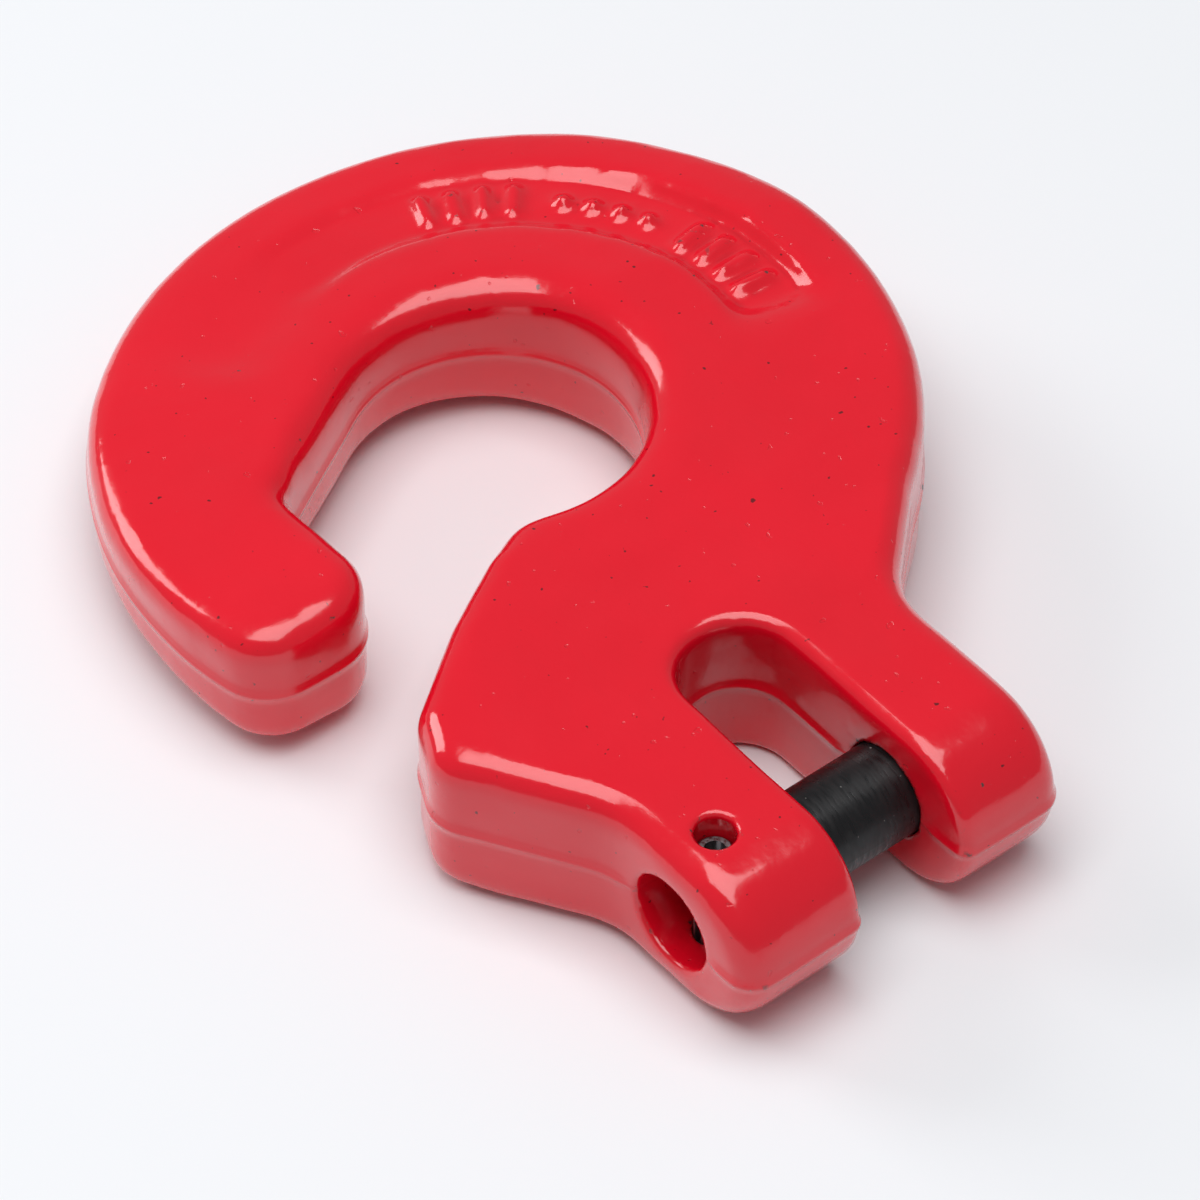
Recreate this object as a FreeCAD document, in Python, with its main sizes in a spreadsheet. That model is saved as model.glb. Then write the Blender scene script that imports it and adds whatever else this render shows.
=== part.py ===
import FreeCAD, Part
import math
import os
import Sketcher

# Clevis hook for a trailer safety chain, lying flat.
# X runs along the hook from the back of the bowl to the clevis, Y along the load pin, Z up.
# The origin is the centre of the bounding box, on the forging's parting plane.

doc = FreeCAD.newDocument("clevis_chain_hook")

DIMENSIONS = {
    # forged body
    "ring_radius": 38.0,
    "ring_cx": -12.75,
    "body_thickness": 16.8,
    "bowl_radius": 14.0,
    "bowl_cx": -12.45,
    "bowl_cy": -1.6,
    # point of the hook and throat
    "point_end_x": -0.75,
    "point_rim_y": -36.0,
    "point_inner_y": -22.5,
    "point_root_x": -16.4,
    "throat_nose_x": -0.57,
    "throat_nose_y": -9.0,
    "throat_mid_x": 6.75,
    "throat_mid_y": -21.5,
    "throat_exit_x": 13.75,
    "throat_exit_y": -31.0,
    # clevis
    "clevis_end_x": 50.75,
    "far_ear_y": 11.7,
    "near_ear_y": -24.3,
    "neck_top_x": 16.2,
    "neck_top_y": 24.2,
    "neck_root_x": 27.8,
    "shoulder_x": 19.0,
    "shoulder_y": -33.0,
    "shoulder_root_x": 33.0,
    "jaw_width": 11.0,
    "jaw_cy": -5.6,
    "jaw_root_x": 21.8,
    "nose_cx": 42.35,
    # load pin and the hole it runs in
    "pin_cx": 40.25,
    "pin_diameter": 9.0,
    "pin_clearance": 0.08,
    "pin_near_y": -17.2,
    "pin_far_y": 7.6,
    "pin_chamfer": 0.8,
    "blind_gap": 0.2,
    # retaining spring pin
    "spring_cy": -19.3,
    "spring_diameter": 3.5,
    "spring_clearance": 0.03,
    "spring_length": 12.0,
    "spring_wall": 0.75,
    "spring_slit": 0.8,
    "spring_chamfer": 0.3,
    # thinning of the bowl towards its rim
    "taper_heading": 26.0,
    "taper_lean": -1.7,
    "taper_start": 12.0,
    "taper_inner_drop": 1.0,
    "taper_end": 62.0,
    "taper_outer_drop": 7.75,
    # edges
    "rim_edge": 2.6,
    "jaw_edge": 1.2,
    "mouth_edge": 0.5,
    "point_corner": 5.5,
    "point_root_corner": 3.0,
    "throat_nose_corner": 3.5,
    "throat_bend_corner": 10.0,
    "shoulder_corner": 4.0,
    "neck_corner": 9.0,
    "neck_blend": 30.0,
    # recessed panel on the back of the bowl
    "panel_heading": 40.0,
    "panel_lean": -1.0,
    "panel_inner": 23.0,
    "panel_inner_drop": 3.35,
    "panel_outer": 31.0,
    "panel_outer_drop": 4.15,
    "panel_sweep": 146.0,
}

sheet = doc.addObject("Spreadsheet::Sheet", "Dimensions")
for row, (alias, value) in enumerate(DIMENSIONS.items(), start=1):
    sheet.set(f"A{row}", alias)
    sheet.set(f"B{row}", str(value))
    sheet.setAlias(f"B{row}", alias)
doc.recompute()


def formula(text):
    """Expression text in which every dimension name points at the spreadsheet."""
    words = []
    for word in text.split():
        words.append(f"Dimensions.{word}" if word in DIMENSIONS else word)
    return " ".join(words)


def amount(text):
    """Present value of a formula, in millimetres or degrees."""
    return float(sheet.evalExpression(formula(text)))


def new_body(label):
    body = doc.addObject("PartDesign::Body", label)
    body.Label = label
    return body


def new_sketch(body, name, plane, offset=None):
    """Sketch on one of the body's own planes; offset is a formula along the plane's normal."""
    sketch = body.newObject("Sketcher::SketchObject", name)
    for feature in body.Origin.OriginFeatures:
        if feature.Role == plane:
            sketch.AttachmentSupport = [(feature, "")]
    sketch.MapMode = "FlatFace"
    if offset:
        sketch.setExpression(".AttachmentOffset.Base.z", formula(offset))
    return sketch


def pin_point(sketch, geometry, position, across, up):
    """Holds one point of a sketch at two formulas measured from the sketch's origin."""
    for kind, text in (("DistanceX", across), ("DistanceY", up)):
        index = sketch.addConstraint(
            Sketcher.Constraint(kind, -1, 1, geometry, position, amount(text))
        )
        sketch.setExpression(f"Constraints[{index}]", formula(text))


def add_circle(sketch, across, up, radius):
    centre = FreeCAD.Vector(amount(across), amount(up), 0)
    index = sketch.addGeometry(Part.Circle(centre, FreeCAD.Vector(0, 0, 1), amount(radius)))
    pin_point(sketch, index, 3, across, up)
    size = sketch.addConstraint(Sketcher.Constraint("Radius", index, amount(radius)))
    sketch.setExpression(f"Constraints[{size}]", formula(radius))


def add_polygon(sketch, corners):
    """Closed outline through corners, each a pair of formulas."""
    places = [FreeCAD.Vector(amount(across), amount(up), 0) for across, up in corners]
    first = sketch.GeometryCount
    count = len(corners)
    for i in range(count):
        sketch.addGeometry(Part.LineSegment(places[i], places[(i + 1) % count]))
    for i in range(count):
        following = first + (i + 1) % count
        sketch.addConstraint(Sketcher.Constraint("Coincident", first + i, 2, following, 1))
    for i, (across, up) in enumerate(corners):
        pin_point(sketch, first + i, 1, across, up)


def new_feature(body, kind, name, profile):
    feature = body.newObject(f"PartDesign::{kind}", name)
    feature.Profile = profile
    return feature


def pad(body, name, profile, length):
    feature = new_feature(body, "Pad", name, profile)
    feature.SideType = "Symmetric"
    feature.setExpression("Length", formula(length))
    return feature


def cut_through(body, name, profile):
    feature = new_feature(body, "Pocket", name, profile)
    feature.SideType = "Symmetric"
    feature.setExpression("Length", "400 mm")
    return feature


def round_edges(body, name, radius, wanted):
    """Rounds every edge of the body's tip for which wanted(edge) is true."""
    doc.recompute()
    base = body.Tip
    picked = [f"Edge{i}" for i, edge in enumerate(base.Shape.Edges, start=1) if wanted(edge)]
    feature = body.newObject("PartDesign::Fillet", name)
    feature.Base = (base, picked)
    feature.setExpression("Radius", formula(radius))
    doc.recompute()
    return feature


def is_upright(edge):
    """True for a straight edge parallel to Z."""
    ends = [vertex.Point for vertex in edge.Vertexes]
    if len(ends) != 2:
        return False
    return abs(ends[0].x - ends[1].x) + abs(ends[0].y - ends[1].y) < 0.01


def upright_at(across, along):
    """Test for the upright edge that stands at one place of the plan view."""
    place = FreeCAD.Vector(amount(across), amount(along), 0)

    def wanted(edge):
        if not is_upright(edge):
            return False
        foot = edge.Vertexes[0].Point
        return (FreeCAD.Vector(foot.x, foot.y, 0) - place).Length < 2.0

    return wanted


def face_normal(face, point):
    across, along = face.Surface.parameter(point)
    return face.normalAt(across, along)


def is_sharp(edge, shape):
    """True for an edge, other than an upright one, where two faces meet at a clear angle."""
    if is_upright(edge) or edge.Length < 0.05:
        return False
    faces = shape.ancestorsOfType(edge, Part.Face)
    if len(faces) != 2:
        return False
    middle = edge.valueAt((edge.FirstParameter + edge.LastParameter) / 2)
    turn = face_normal(faces[0], middle).getAngle(face_normal(faces[1], middle))
    return turn > math.radians(30)


def in_jaw(edge):
    """True for an edge on the walls of the jaw."""
    box = edge.BoundBox
    low = amount("jaw_cy - jaw_width / 2 - 0.1")
    high = amount("jaw_cy + jaw_width / 2 + 0.1")
    return box.YMin > low and box.YMax < high and box.XMin > amount("jaw_root_x - 0.1")


# ---------------------------------------------------------------- hook_body
hook = new_body("hook_body")

ring_outline = new_sketch(hook, "ring_outline", "XY_Plane")
add_circle(ring_outline, "ring_cx", "0", "ring_radius")
pad(hook, "ring", ring_outline, "body_thickness")

clevis_outline = new_sketch(hook, "clevis_outline", "XY_Plane")
add_polygon(
    clevis_outline,
    [
        ("ring_cx", "ring_radius / 2"),
        ("neck_top_x", "neck_top_y"),
        ("neck_root_x", "far_ear_y"),
        ("clevis_end_x", "far_ear_y"),
        ("clevis_end_x", "near_ear_y"),
        ("shoulder_root_x", "near_ear_y"),
        ("shoulder_x", "shoulder_y"),
        ("throat_exit_x - 1", "throat_exit_y + 1"),
        ("ring_cx", "- ring_radius / 2"),
    ],
)
pad(hook, "clevis", clevis_outline, "body_thickness")

# The ends of both ears are half round, seen along the load pin.
nose_outline = new_sketch(hook, "nose_outline", "XZ_Plane")
half = amount("body_thickness / 2")
nose_centre = FreeCAD.Vector(amount("nose_cx"), 0, 0)
nose_circle = Part.Circle(nose_centre, FreeCAD.Vector(0, 0, 1), half)
nose_arc = Part.ArcOfCircle(nose_circle, -math.pi / 2, math.pi / 2)
nose_outline.addGeometry(nose_arc)
around = [
    ("nose_cx", "body_thickness"),
    ("clevis_end_x + 5", "body_thickness"),
    ("clevis_end_x + 5", "- body_thickness"),
    ("nose_cx", "- body_thickness"),
]
places = [FreeCAD.Vector(amount(across), amount(up), 0) for across, up in around]
chain = [nose_arc.EndPoint] + places + [nose_arc.StartPoint]
for start, end in zip(chain, chain[1:]):
    nose_outline.addGeometry(Part.LineSegment(start, end))
last = nose_outline.GeometryCount - 1
nose_outline.addConstraint(Sketcher.Constraint("Coincident", 0, 2, 1, 1))
nose_outline.addConstraint(Sketcher.Constraint("Coincident", last, 2, 0, 1))
for i in range(1, last):
    nose_outline.addConstraint(Sketcher.Constraint("Coincident", i, 2, i + 1, 1))
pin_point(nose_outline, 0, 3, "nose_cx", "0")
nose_outline.addConstraint(Sketcher.Constraint("Vertical", 0, 1, 0, 3))
nose_outline.addConstraint(Sketcher.Constraint("Vertical", 0, 2, 0, 3))
nose_size = nose_outline.addConstraint(Sketcher.Constraint("Radius", 0, half))
nose_outline.setExpression(f"Constraints[{nose_size}]", formula("body_thickness / 2"))
for i, (across, up) in enumerate(around, start=1):
    pin_point(nose_outline, i, 2, across, up)
cut_through(hook, "clevis_nose", nose_outline)

jaw_outline = new_sketch(hook, "jaw_outline", "XY_Plane")
add_polygon(
    jaw_outline,
    [
        ("jaw_root_x", "jaw_cy - jaw_width / 2"),
        ("clevis_end_x + 5", "jaw_cy - jaw_width / 2"),
        ("clevis_end_x + 5", "jaw_cy + jaw_width / 2"),
        ("jaw_root_x", "jaw_cy + jaw_width / 2"),
    ],
)
cut_through(hook, "jaw", jaw_outline)

# Bowl and throat are one opening: an arc for the bowl, then lines down the limb,
# along the inside of the point, out past its end and back up the shoulder.
bowl_outline = new_sketch(hook, "bowl_outline", "XY_Plane")
bowl_centre = FreeCAD.Vector(amount("bowl_cx"), amount("bowl_cy"), 0)
opening = [
    ("point_root_x", "point_inner_y"),
    ("point_end_x", "point_inner_y"),
    ("point_end_x", "- ring_radius - 5"),
    ("throat_exit_x", "- ring_radius - 5"),
    ("throat_exit_x", "throat_exit_y"),
    ("throat_mid_x", "throat_mid_y"),
]
places = [FreeCAD.Vector(amount(across), amount(along), 0) for across, along in opening]
to_root = places[0] - bowl_centre
limb_angle = math.atan2(to_root.y, to_root.x) - math.acos(amount("bowl_radius") / to_root.Length)
nose_angle = math.asin((amount("throat_nose_y") - bowl_centre.y) / amount("bowl_radius"))
bowl_arc = Part.ArcOfCircle(
    Part.Circle(bowl_centre, FreeCAD.Vector(0, 0, 1), amount("bowl_radius")),
    nose_angle,
    limb_angle + 2 * math.pi,
)
bowl_outline.addGeometry(bowl_arc)
chain = [bowl_arc.EndPoint] + places + [bowl_arc.StartPoint]
for start, end in zip(chain, chain[1:]):
    bowl_outline.addGeometry(Part.LineSegment(start, end))
last = bowl_outline.GeometryCount - 1
bowl_outline.addConstraint(Sketcher.Constraint("Tangent", 0, 2, 1, 1))
bowl_outline.addConstraint(Sketcher.Constraint("Coincident", last, 2, 0, 1))
for i in range(1, last):
    bowl_outline.addConstraint(Sketcher.Constraint("Coincident", i, 2, i + 1, 1))
pin_point(bowl_outline, 0, 3, "bowl_cx", "bowl_cy")
for i, (across, along) in enumerate(opening, start=1):
    pin_point(bowl_outline, i, 2, across, along)
bowl_size = bowl_outline.addConstraint(Sketcher.Constraint("Radius", 0, amount("bowl_radius")))
bowl_outline.setExpression(f"Constraints[{bowl_size}]", formula("bowl_radius"))
nose_height = bowl_outline.addConstraint(
    Sketcher.Constraint("DistanceY", -1, 1, 0, 1, amount("throat_nose_y"))
)
bowl_outline.setExpression(f"Constraints[{nose_height}]", formula("throat_nose_y"))
cut_through(hook, "bowl", bowl_outline)

UPRIGHT_ROUNDINGS = [
    ("jaw_root_near", "jaw_width / 2 - 0.2", "jaw_root_x", "jaw_cy - jaw_width / 2"),
    ("jaw_root_far", "jaw_width / 2 - 0.2", "jaw_root_x", "jaw_cy + jaw_width / 2"),
    ("neck_start", "neck_blend", "neck_top_x + 2", "neck_top_y - 2.2"),
    ("neck_bend", "neck_corner", "neck_root_x", "far_ear_y"),
    ("shoulder_bend", "neck_corner", "shoulder_root_x", "near_ear_y"),
    ("shoulder_tip", "shoulder_corner", "shoulder_x", "shoulder_y"),
    ("shoulder_heel", "shoulder_corner", "throat_exit_x - 0.6", "throat_exit_y + 0.8"),
    ("throat_nose", "throat_nose_corner", "throat_nose_x", "throat_nose_y"),
    ("point_inner", "point_corner", "point_end_x", "point_inner_y"),
    ("point_outer", "point_corner", "point_end_x", "point_rim_y"),
    ("point_root", "point_root_corner", "point_root_x", "point_inner_y"),
    ("throat_bend", "throat_bend_corner", "throat_mid_x", "throat_mid_y"),
]
for name, radius, across, along in UPRIGHT_ROUNDINGS:
    round_edges(hook, name, radius, upright_at(across, along))


def turned_sketch(body, name, heading, lean, corners):
    """Profile and axis of a cut turned round the middle of the bowl's ring.

    The sketch stands upright at a heading round the ring, and its axis leans in its plane.
    """
    sketch = new_sketch(body, name, "XZ_Plane")
    sketch.AttachmentOffset = FreeCAD.Placement(
        FreeCAD.Vector(amount("ring_cx"), 0, 0),
        FreeCAD.Rotation(FreeCAD.Vector(0, 1, 0), amount(heading)),
    )
    sketch.setExpression(".AttachmentOffset.Base.x", formula("ring_cx"))
    sketch.setExpression(".AttachmentOffset.Rotation.Angle", formula(heading))
    add_polygon(sketch, corners)
    foot = FreeCAD.Vector(0, amount("body_thickness / 2"), 0)
    head = FreeCAD.Vector(amount(lean), amount("body_thickness / 2 + 20"), 0)
    axis = sketch.addGeometry(Part.LineSegment(foot, head), True)
    pin_point(sketch, axis, 1, "0", "body_thickness / 2")
    pin_point(sketch, axis, 2, lean, "body_thickness / 2 + 20")
    return sketch


# The bowl is thinner towards its rim. A shallow cone, whose axis leans so that it cuts
# deepest on the side of the limb and point, is turned off the top, and its mirror image
# off the underside.
taper_outline = turned_sketch(
    hook,
    "taper_outline",
    "taper_heading",
    "taper_lean",
    [
        ("- taper_start", "body_thickness / 2 - taper_inner_drop"),
        ("- taper_end", "body_thickness / 2 - taper_outer_drop"),
        ("- taper_end", "body_thickness"),
        ("- taper_start", "body_thickness"),
    ],
)
taper = new_feature(hook, "Groove", "rim_taper", taper_outline)
taper.ReferenceAxis = (taper_outline, ["Axis0"])
taper.Angle = 360
taper_below = hook.newObject("PartDesign::Mirrored", "rim_taper_below")
taper_below.Originals = [taper]
for feature in hook.Origin.OriginFeatures:
    if feature.Role == "XY_Plane":
        taper_below.MirrorPlane = (feature, [""])
hook.Tip = taper_below
doc.recompute()

before_jaw = hook.Tip.Shape
round_edges(
    hook, "jaw_rounding", "jaw_edge", lambda edge: in_jaw(edge) and is_sharp(edge, before_jaw)
)
before_rim = hook.Tip.Shape
round_edges(
    hook, "rim_rounding", "rim_edge", lambda edge: not in_jaw(edge) and is_sharp(edge, before_rim)
)

# Shallow crescent panel along the back of the bowl, deepest towards the neck.
panel_outline = turned_sketch(
    hook,
    "panel_outline",
    "panel_heading",
    "panel_lean",
    [
        ("- panel_inner", "body_thickness / 2 - panel_inner_drop"),
        ("- panel_outer", "body_thickness / 2 - panel_outer_drop"),
        ("- panel_outer", "body_thickness"),
        ("- panel_inner", "body_thickness"),
    ],
)
panel = new_feature(hook, "Groove", "marking_panel", panel_outline)
panel.ReferenceAxis = (panel_outline, ["Axis0"])
panel.setExpression("Angle", formula("panel_sweep"))
panel.Reversed = True

# The load pin's hole runs from the outside of the near ear, across the jaw, to a blind
# end inside the far ear. The retaining pin's hole crosses it from top to bottom.
pin_hole_outline = new_sketch(hook, "pin_hole_outline", "XZ_Plane", "- pin_far_y - blind_gap")
add_circle(pin_hole_outline, "pin_cx", "0", "pin_diameter / 2 + pin_clearance")
pin_hole = new_feature(hook, "Pocket", "pin_hole", pin_hole_outline)
pin_hole.setExpression("Length", "100 mm")
pin_hole.Reversed = True
spring_hole_outline = new_sketch(hook, "spring_hole_outline", "XY_Plane")
add_circle(spring_hole_outline, "pin_cx", "spring_cy", "spring_diameter / 2 + spring_clearance")
cut_through(hook, "spring_hole", spring_hole_outline)
doc.recompute()


def is_hole_mouth(edge):
    """Round rims of the two holes on the outside of the near ear."""
    if is_upright(edge):
        return False
    box = edge.BoundBox
    face_height = amount("body_thickness / 2")
    on_side = abs(box.YMin - amount("near_ear_y")) < 0.01 and abs(box.YMax - box.YMin) < 0.01
    flat = abs(box.ZMax - box.ZMin) < 0.01 and abs(abs(box.ZMax) - face_height) < 0.01
    near_pin = abs(edge.CenterOfMass.x - amount("pin_cx")) < 3
    if on_side and near_pin:
        return edge.BoundBox.XMax - edge.BoundBox.XMin < amount("pin_diameter + 1")
    return flat and near_pin and abs(edge.CenterOfMass.y - amount("spring_cy")) < 2


round_edges(hook, "hole_rims", "mouth_edge", is_hole_mouth)

# ---------------------------------------------------------------- load_pin
load_pin = new_body("load_pin")
load_outline = new_sketch(load_pin, "load_outline", "XZ_Plane", "- pin_far_y")
add_circle(load_outline, "pin_cx", "0", "pin_diameter / 2")
shank = new_feature(load_pin, "Pad", "shank", load_outline)
shank.setExpression("Length", formula("pin_far_y - pin_near_y"))
doc.recompute()
load_ends = load_pin.newObject("PartDesign::Chamfer", "load_ends")
load_ends.Base = (shank, ["Face2", "Face3"])
load_ends.setExpression("Size", formula("pin_chamfer"))

# ---------------------------------------------------------------- retaining_pin
retaining_pin = new_body("retaining_pin")
spring_outline = new_sketch(retaining_pin, "spring_outline", "XY_Plane")
add_circle(spring_outline, "pin_cx", "spring_cy", "spring_diameter / 2")
add_circle(spring_outline, "pin_cx", "spring_cy", "spring_diameter / 2 - spring_wall")
tube = pad(retaining_pin, "tube", spring_outline, "spring_length")
doc.recompute()


def is_outer_rim(edge):
    box = edge.BoundBox
    across = box.XMax - box.XMin
    flat = box.ZMax - box.ZMin < 0.01
    return flat and abs(across - amount("spring_diameter")) < 0.01


rims = [f"Edge{i}" for i, edge in enumerate(tube.Shape.Edges, start=1) if is_outer_rim(edge)]
spring_ends = retaining_pin.newObject("PartDesign::Chamfer", "spring_ends")
spring_ends.Base = (tube, rims)
spring_ends.setExpression("Size", formula("spring_chamfer"))
slit_outline = new_sketch(retaining_pin, "slit_outline", "XY_Plane")
add_polygon(
    slit_outline,
    [
        ("pin_cx - spring_slit / 2", "spring_cy"),
        ("pin_cx + spring_slit / 2", "spring_cy"),
        ("pin_cx + spring_slit / 2", "spring_cy - spring_diameter"),
        ("pin_cx - spring_slit / 2", "spring_cy - spring_diameter"),
    ],
)
cut_through(retaining_pin, "slit", slit_outline)

# ---------------------------------------------------------------- check and export
doc.recompute()
for item in doc.Objects:
    if "Invalid" in item.State or "Error" in item.State:
        raise RuntimeError(f"{item.Name} is not valid: {item.State}")
os.makedirs("parts", exist_ok=True)
for body in (hook, load_pin, retaining_pin):
    shape = body.Shape
    if shape.isNull() or not shape.isValid() or len(shape.Solids) != 1:
        raise RuntimeError(f"{body.Label} is not one valid solid")
    shape.exportStep(f"parts/{body.Label}.step")
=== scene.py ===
import math

import bmesh
import bpy
import numpy as np
from mathutils import Matrix, Vector, noise
from mathutils.bvhtree import BVHTree


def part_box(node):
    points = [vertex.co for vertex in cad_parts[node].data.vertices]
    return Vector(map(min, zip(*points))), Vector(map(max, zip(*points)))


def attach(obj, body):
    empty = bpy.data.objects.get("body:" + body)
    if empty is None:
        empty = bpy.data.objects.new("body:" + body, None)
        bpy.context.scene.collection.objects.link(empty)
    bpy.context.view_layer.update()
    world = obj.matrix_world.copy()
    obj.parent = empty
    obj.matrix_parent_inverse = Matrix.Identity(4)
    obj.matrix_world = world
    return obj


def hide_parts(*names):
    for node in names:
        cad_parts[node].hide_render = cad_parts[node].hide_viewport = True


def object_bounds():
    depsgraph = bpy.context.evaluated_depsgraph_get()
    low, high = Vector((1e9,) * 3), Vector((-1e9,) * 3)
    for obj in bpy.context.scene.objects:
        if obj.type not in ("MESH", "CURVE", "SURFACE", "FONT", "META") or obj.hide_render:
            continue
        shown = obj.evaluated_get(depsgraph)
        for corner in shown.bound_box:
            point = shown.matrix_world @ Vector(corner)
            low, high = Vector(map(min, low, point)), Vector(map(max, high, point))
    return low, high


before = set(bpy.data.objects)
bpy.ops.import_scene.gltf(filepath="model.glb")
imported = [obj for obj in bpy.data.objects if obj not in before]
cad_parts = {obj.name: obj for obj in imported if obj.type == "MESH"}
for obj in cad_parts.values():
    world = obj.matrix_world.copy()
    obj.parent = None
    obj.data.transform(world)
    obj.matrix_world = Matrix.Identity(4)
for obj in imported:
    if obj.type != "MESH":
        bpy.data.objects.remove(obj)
cad_low, cad_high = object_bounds()

MM = 0.001
pin_low, pin_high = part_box("load_pin")
spring_low, spring_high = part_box("retaining_pin")
PIN_CENTRE = (Vector(pin_low) + Vector(pin_high)) / 2
SPRING_CENTRE = (Vector(spring_low) + Vector(spring_high)) / 2
RING_CENTRE = Vector((cad_low.x + 38.0 * MM, 0.0, 0.0))
BOWL_CENTRE = RING_CENTRE + Vector((0.3 * MM, -1.6 * MM, 0.0))
MARK_RADIUS = 27.0 * MM
MARK_GROUPS = (84, 112, 140)
MARKS_IN_GROUP = 4
MARK_STEP = 6
BAR = (4.8 * MM, 1.5 * MM)
PIP = (1.9 * MM, 1.9 * MM)
VOXEL = 0.44 * MM
BORE_WALL = 4.62 * MM
SPRING_WALL = 1.88 * MM
PARTING_HEIGHT = 0.24 * MM


# ---------------------------------------------------------------- forged body
def add_mark(cast, place, heading, length, width):
    """A rounded bar or pip, standing half out of the panel's floor."""
    made = bmesh.ops.create_uvsphere(cast, u_segments=24, v_segments=14, radius=width / 2)
    for vertex in made["verts"]:
        vertex.co.z *= 1.4
        if vertex.co.x > 0:
            vertex.co.x += (length - width) / 2
        else:
            vertex.co.x -= (length - width) / 2
    turn = Matrix.Translation(place) @ Matrix.Rotation(heading, 4, "Z")
    bmesh.ops.transform(cast, matrix=turn, verts=made["verts"])


def cast_body(node):
    """The forging's own surface with plain marks on its panel, remeshed as one skin."""
    cast = bmesh.new()
    cast.from_mesh(node.data)
    cast.transform(node.matrix_world)
    bmesh.ops.remove_doubles(cast, verts=cast.verts, dist=1e-6)
    surface = BVHTree.FromBMesh(cast)
    for group, group_start in enumerate(MARK_GROUPS):
        length, width = PIP if group == 1 else BAR
        for step in range(MARKS_IN_GROUP):
            heading = math.radians(group_start + MARK_STEP * step)
            outward = Vector((math.cos(heading), math.sin(heading), 0))
            above = RING_CENTRE + outward * MARK_RADIUS + Vector((0, 0, 20 * MM))
            place = surface.ray_cast(above, Vector((0, 0, -1)))[0]
            add_mark(cast, place, heading, length, width)
    rough = bpy.data.meshes.new("rough")
    cast.to_mesh(rough)
    cast.free()
    holder = bpy.data.objects.new("rough", rough)
    bpy.context.collection.objects.link(holder)
    remesh = holder.modifiers.new("skin", "REMESH")
    remesh.mode = "VOXEL"
    remesh.voxel_size = VOXEL
    graph = bpy.context.evaluated_depsgraph_get()
    skin = bpy.data.meshes.new_from_object(holder.evaluated_get(graph))
    bpy.data.objects.remove(holder)
    return skin


def relax(points, edges, weight, rounds):
    """Moves each point towards the mean of its neighbours."""
    count = len(points)
    first, second = edges[:, 0], edges[:, 1]
    degree = np.bincount(edges.ravel(), minlength=count)
    for _ in range(rounds):
        for k in range(3):
            total = np.bincount(first, points[second, k], count)
            total += np.bincount(second, points[first, k], count)
            points[:, k] += weight * (total / degree - points[:, k])


def ramp(values, low, high):
    """0 at low, 1 at high, smooth between."""
    t = np.clip((values - low) / (high - low), 0, 1)
    return t * t * (3 - 2 * t)


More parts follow.
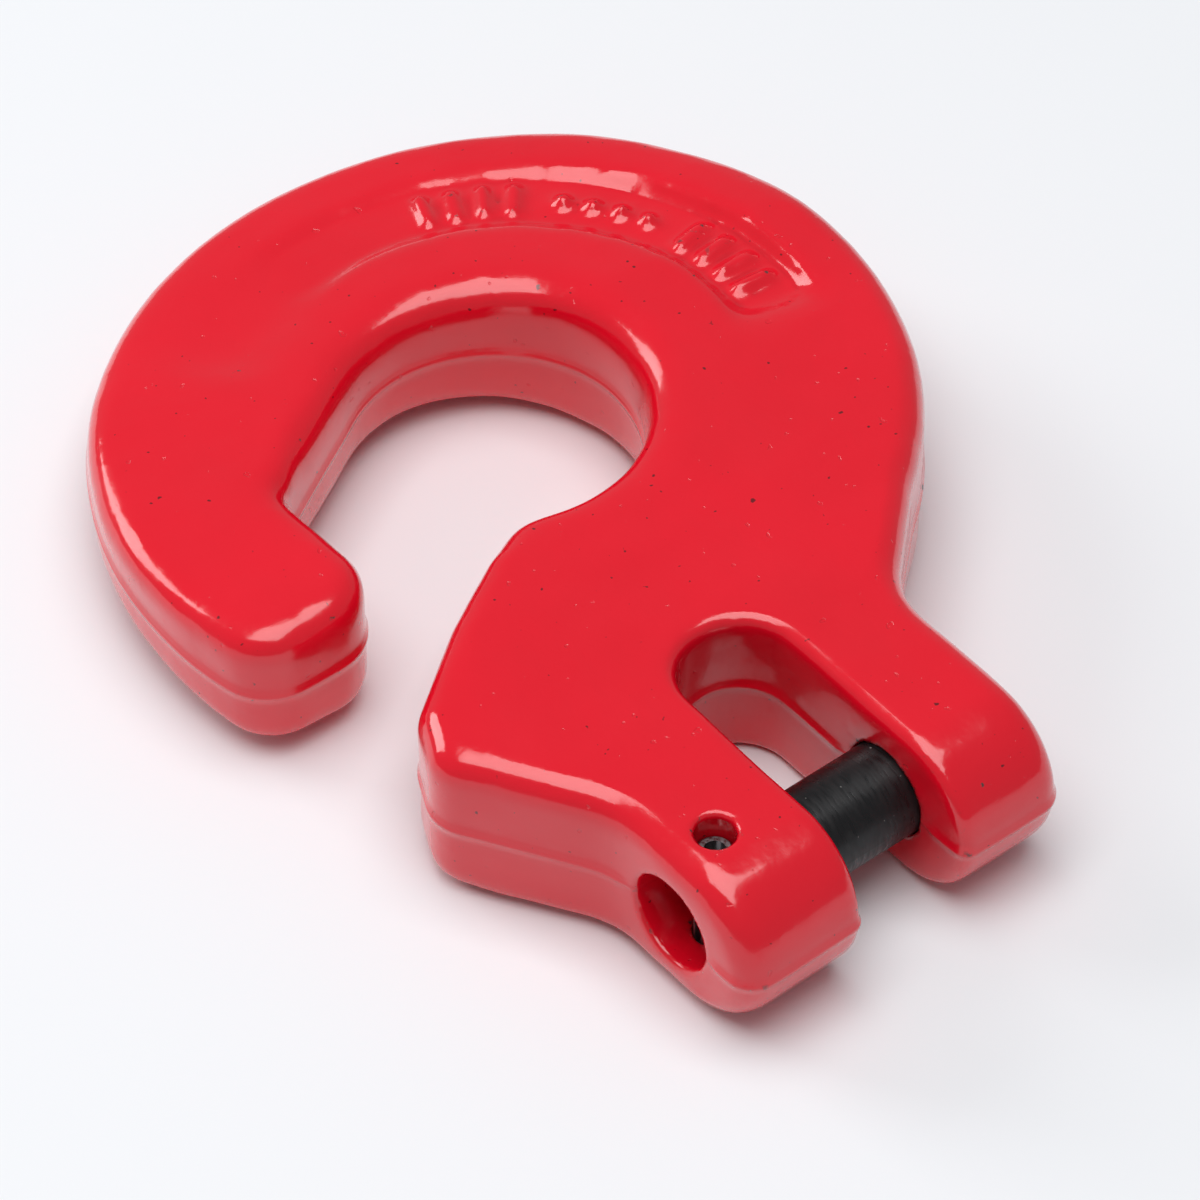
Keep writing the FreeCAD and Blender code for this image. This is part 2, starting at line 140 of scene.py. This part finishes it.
def finish_surface(mesh):
    """Softens the edges, keeps both holes true, and adds unevenness and the parting ridge."""
    count = len(mesh.vertices)
    points = np.empty(count * 3)
    mesh.vertices.foreach_get("co", points)
    points = points.reshape(-1, 3)
    edges = np.empty(len(mesh.edges) * 2, dtype=np.int64)
    mesh.edges.foreach_get("vertices", edges)
    edges = edges.reshape(-1, 2)

    from_pin = np.hypot(points[:, 0] - PIN_CENTRE.x, points[:, 2] - PIN_CENTRE.z)
    from_spring = np.hypot(points[:, 0] - SPRING_CENTRE.x, points[:, 1] - SPRING_CENTRE.y)
    from_bowl = np.hypot(points[:, 0] - BOWL_CENTRE.x, points[:, 1] - BOWL_CENTRE.y)
    loose = ramp(from_pin, 5.3 * MM, 6.5 * MM) * ramp(from_spring, 2.3 * MM, 3.2 * MM)
    relax(points, edges, 0.5 * loose, 7)
    lip = (1 - ramp(from_bowl, 17 * MM, 20 * MM)) * ramp(np.abs(points[:, 2]), 1 * MM, 4 * MM)
    relax(points, edges, 0.5 * loose * lip, 60)

    from_ring = np.hypot(points[:, 0] - RING_CENTRE.x, points[:, 1])
    heading = np.degrees(np.arctan2(points[:, 1], points[:, 0] - RING_CENTRE.x)) % 360
    band = ramp(from_ring, 18 * MM, 21 * MM) * (1 - ramp(from_ring, 32 * MM, 35 * MM))
    band *= ramp(points[:, 2], 2 * MM, 3.5 * MM)
    ends = np.maximum(1 - ramp(heading, 72, 80), ramp(heading, 185, 205))
    ends *= ramp(heading, 55, 64) * (1 - ramp(heading, 225, 235))
    relax(points, edges, 0.5 * band * ends, 90)
    inner_side = 1 - ramp(from_ring, 23.6 * MM, 24.4 * MM)
    outer_side = ramp(from_ring, 30.2 * MM, 31 * MM)
    edge_of_panel = np.maximum(inner_side, outer_side)
    relax(points, edges, 0.5 * band * edge_of_panel * (heading < 235), 14)

    from_pin = np.hypot(points[:, 0] - PIN_CENTRE.x, points[:, 2] - PIN_CENTRE.z)
    along = points[:, 1]
    near_bore = (along > -24.0 * MM) & (along < -11.3 * MM)
    far_bore = (along > 0.1 * MM) & (along < 7.5 * MM)
    wall = (near_bore | far_bore) & (from_pin > 4.2 * MM) & (from_pin < 4.8 * MM)
    grow = BORE_WALL / from_pin[wall]
    points[wall, 0] = PIN_CENTRE.x + (points[wall, 0] - PIN_CENTRE.x) * grow
    points[wall, 2] = PIN_CENTRE.z + (points[wall, 2] - PIN_CENTRE.z) * grow
    blind_end = (from_pin < 4.7 * MM) & (along > 7.2 * MM) & (along < 8.5 * MM)
    points[blind_end, 1] = np.maximum(points[blind_end, 1], 7.75 * MM)
    from_spring = np.hypot(points[:, 0] - SPRING_CENTRE.x, points[:, 1] - SPRING_CENTRE.y)
    height = np.abs(points[:, 2])
    wall = (height > 4.3 * MM) & (height < 7.7 * MM)
    wall &= (from_spring > 1.4 * MM) & (from_spring < 2.0 * MM)
    grow = SPRING_WALL / from_spring[wall]
    points[wall, 0] = SPRING_CENTRE.x + (points[wall, 0] - SPRING_CENTRE.x) * grow
    points[wall, 1] = SPRING_CENTRE.y + (points[wall, 1] - SPRING_CENTRE.y) * grow

    mesh.vertices.foreach_set("co", points.ravel())
    mesh.update()
    normals = np.empty(count * 3)
    mesh.vertex_normals.foreach_get("vector", normals)
    normals = normals.reshape(-1, 3)
    swell = np.empty(count)
    for i, (x, y, z) in enumerate(points):
        broad = noise.noise(Vector((x, y, z)) / (11 * MM))
        fine = noise.noise(Vector((x, y, z)) / (3.2 * MM))
        swell[i] = 0.16 * MM * broad + 0.035 * MM * fine
    upright = 1 - ramp(np.abs(normals[:, 2]), 0.35, 0.6)
    parting = PARTING_HEIGHT * np.exp(-((points[:, 2] / (0.5 * MM)) ** 2)) * upright
    points += normals * ((swell + parting) * loose)[:, None]
    points[:, 2] = np.clip(points[:, 2], cad_low.z, cad_high.z)
    mesh.vertices.foreach_set("co", points.ravel())
    mesh.update()
    mesh.shade_smooth()


body_mesh = cast_body(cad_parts["hook_body"])
finish_surface(body_mesh)
body_mesh.name = "forged_hook"
hook = bpy.data.objects.new("forged_hook", body_mesh)
bpy.context.collection.objects.link(hook)


# ---------------------------------------------------------------- materials
class Paint:
    """Builds one material's nodes on object coordinates, in metres."""

    def __init__(self, name):
        self.material = bpy.data.materials.new(name)
        self.material.use_nodes = True
        self.nodes = self.material.node_tree.nodes
        self.links = self.material.node_tree.links
        self.shader = self.nodes["Principled BSDF"]
        self.coords = self.nodes.new("ShaderNodeTexCoord").outputs["Object"]

    def stretched(self, scale):
        mapping = self.nodes.new("ShaderNodeMapping")
        mapping.inputs["Scale"].default_value = scale
        self.links.new(self.coords, mapping.inputs["Vector"])
        return mapping.outputs["Vector"]

    def noise(self, scale, detail=2.0, coords=None):
        made = self.nodes.new("ShaderNodeTexNoise")
        made.inputs["Scale"].default_value = scale
        made.inputs["Detail"].default_value = detail
        self.links.new(coords or self.coords, made.inputs["Vector"])
        return made.outputs["Fac"]

    def spread(self, value, low, high, to_low=0.0, to_high=1.0):
        made = self.nodes.new("ShaderNodeMapRange")
        made.interpolation_type = "SMOOTHSTEP"
        settings = (low, high, to_low, to_high)
        for socket, amount in zip(("From Min", "From Max", "To Min", "To Max"), settings):
            made.inputs[socket].default_value = amount
        self.links.new(value, made.inputs["Value"])
        return made.outputs["Result"]

    def combine(self, operation, first, second):
        made = self.nodes.new("ShaderNodeMath")
        made.operation = operation
        for socket, value in zip(made.inputs, (first, second)):
            if isinstance(value, float):
                socket.default_value = value
            else:
                self.links.new(value, socket)
        return made.outputs["Value"]

    def blend(self, factor, first, second):
        made = self.nodes.new("ShaderNodeMix")
        made.data_type = "RGBA"
        self.links.new(factor, made.inputs["Factor"])
        for socket, colour in zip(made.inputs[6:8], (first, second)):
            if isinstance(colour, tuple):
                socket.default_value = (*colour, 1)
            else:
                self.links.new(colour, socket)
        return made.outputs[2]

    def finish(self, colour, roughness, height):
        """Height is in millimetres."""
        bump = self.nodes.new("ShaderNodeBump")
        bump.inputs["Strength"].default_value = 1.0
        bump.inputs["Distance"].default_value = MM
        self.links.new(height, bump.inputs["Height"])
        self.links.new(bump.outputs["Normal"], self.shader.inputs["Normal"])
        self.links.new(colour, self.shader.inputs["Base Color"])
        self.links.new(roughness, self.shader.inputs["Roughness"])
        return self.material


def red_powder_coat():
    paint = Paint("red_powder_coat")
    geometry = paint.nodes.new("ShaderNodeNewGeometry")
    edge = geometry.outputs["Pointiness"]
    split = paint.nodes.new("ShaderNodeSeparateXYZ")
    paint.links.new(paint.coords, split.inputs["Vector"])
    from_parting = paint.combine("ABSOLUTE", split.outputs["Z"], 0.0)
    ridge = paint.spread(from_parting, 0.0, 0.45 * MM, 0.06, 0.0)
    peel = paint.combine("MULTIPLY", paint.noise(950, 2), 0.022)
    lumps = paint.combine("MULTIPLY", paint.noise(170, 3), 0.19)
    pits = paint.spread(paint.noise(900, 1), 0.74, 0.80, 0.0, -0.06)
    speck = paint.spread(paint.noise(1400, 1), 0.76, 0.80)
    sharp = paint.spread(edge, 0.515, 0.55)
    chip = paint.combine("MULTIPLY", sharp, paint.spread(paint.noise(1100, 5), 0.60, 0.66))
    chip_depth = paint.combine("MULTIPLY", chip, -0.03)
    # Painted shade: the red coat is darkened in concave hollows and creases, where pointiness
    # is low.
    painted_hollow_shade = paint.spread(edge, 0.44, 0.49, 1.0, 0.0)
    colour = paint.blend(paint.noise(70, 3), (0.82, 0.004, 0.021), (0.70, 0.003, 0.015))
    colour = paint.blend(painted_hollow_shade, colour, (0.34, 0.002, 0.008))
    colour = paint.blend(speck, colour, (0.16, 0.006, 0.010))
    colour = paint.blend(chip, colour, (0.045, 0.030, 0.028))
    roughness = paint.spread(paint.noise(110, 4), 0.3, 0.7, 0.11, 0.22)
    roughness = paint.combine("ADD", roughness, paint.combine("MULTIPLY", chip, 0.4))
    height = peel
    for part in (lumps, pits, ridge, chip_depth):
        height = paint.combine("ADD", height, part)
    paint.shader.inputs["Coat Weight"].default_value = 0.5
    paint.shader.inputs["Coat Roughness"].default_value = 0.06
    return paint.finish(colour, roughness, height)


def pin_steel(name, dark, light, metal, scratch_scale):
    """Turned steel with fine scratches, worn lighter patches and a little dust."""
    paint = Paint(name)
    scratches = paint.noise(1.0, 5, paint.stretched(scratch_scale))
    worn = paint.spread(paint.noise(260, 4), 0.55, 0.72)
    dust = paint.spread(paint.noise(1700, 1), 0.77, 0.81)
    colour = paint.blend(worn, dark, light)
    colour = paint.blend(dust, colour, (0.22, 0.21, 0.20))
    roughness = paint.spread(scratches, 0.35, 0.65, 0.26, 0.46)
    roughness = paint.combine("ADD", roughness, paint.combine("MULTIPLY", dust, 0.3))
    height = paint.combine("MULTIPLY", scratches, 0.02)
    height = paint.combine("ADD", height, paint.combine("MULTIPLY", paint.noise(300, 3), 0.03))
    paint.shader.inputs["Metallic"].default_value = metal
    return paint.finish(colour, roughness, height)


def dress(piece, material):
    piece.data.materials.clear()
    piece.data.materials.append(material)


hook.data.materials.append(red_powder_coat())
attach(hook, "hook")
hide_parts("hook_body")
dress(
    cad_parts["load_pin"],
    pin_steel(
        "black_pin_steel", (0.010, 0.010, 0.011), (0.035, 0.033, 0.032), 0.3, (500, 2600, 500)
    ),
)
dress(
    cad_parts["retaining_pin"],
    pin_steel("spring_steel", (0.24, 0.24, 0.25), (0.42, 0.42, 0.43), 1.0, (2600, 2600, 300)),
)


# ---------------------------------------------------------------- floor, light and camera
floor_mesh = bpy.data.meshes.new("floor")
REACH = 4.0
corners = [(-REACH, -REACH), (REACH, -REACH), (REACH, REACH), (-REACH, REACH)]
floor_mesh.from_pydata([(x, y, cad_low.z - 0.02 * MM) for x, y in corners], [], [(0, 1, 2, 3)])
floor = bpy.data.objects.new("floor", floor_mesh)
bpy.context.collection.objects.link(floor)
floor_paint = bpy.data.materials.new("pale_floor")
floor_paint.use_nodes = True
floor_shader = floor_paint.node_tree.nodes["Principled BSDF"]
floor_shader.inputs["Base Color"].default_value = (0.86, 0.875, 0.90, 1)
floor_shader.inputs["Roughness"].default_value = 0.7
floor_mesh.materials.append(floor_paint)

world = bpy.data.worlds.new("studio")
world.use_nodes = True
world.node_tree.nodes["Background"].inputs["Color"].default_value = (0.96, 0.98, 1.0, 1)
world.node_tree.nodes["Background"].inputs["Strength"].default_value = 0.26
bpy.context.scene.world = world


def soft_light(name, place, size, power):
    """Square studio light aimed at the hook."""
    light = bpy.data.lights.new(name, "AREA")
    light.shape = "SQUARE"
    light.size = size
    light.energy = power
    lamp = bpy.data.objects.new(name, light)
    lamp.location = Vector(place)
    lamp.rotation_euler = (-lamp.location).to_track_quat("-Z", "Y").to_euler()
    bpy.context.collection.objects.link(lamp)


soft_light("overhead", (0.04, -0.08, 0.8), 0.7, 5.6)
soft_light("side", (-0.7, -0.3, 0.4), 0.4, 2.2)

camera_data = bpy.data.cameras.new("camera")
camera_data.sensor_width = 36
camera_data.lens = 179
camera_data.clip_start = 0.01
camera = bpy.data.objects.new("camera", camera_data)
azimuth = math.radians(51.05)
elevation = math.radians(46.65)
level = math.cos(elevation)
back = Vector((math.sin(azimuth) * level, -math.cos(azimuth) * level, math.sin(elevation)))
camera.location = Vector((7.22 * MM, -5.07 * MM, 0)) + back * 0.5319
camera.rotation_euler = (-back).to_track_quat("-Z", "Y").to_euler()
bpy.context.collection.objects.link(camera)
bpy.context.scene.camera = camera
bpy.context.scene.view_settings.view_transform = "Standard"

bpy.context.view_layer.update()
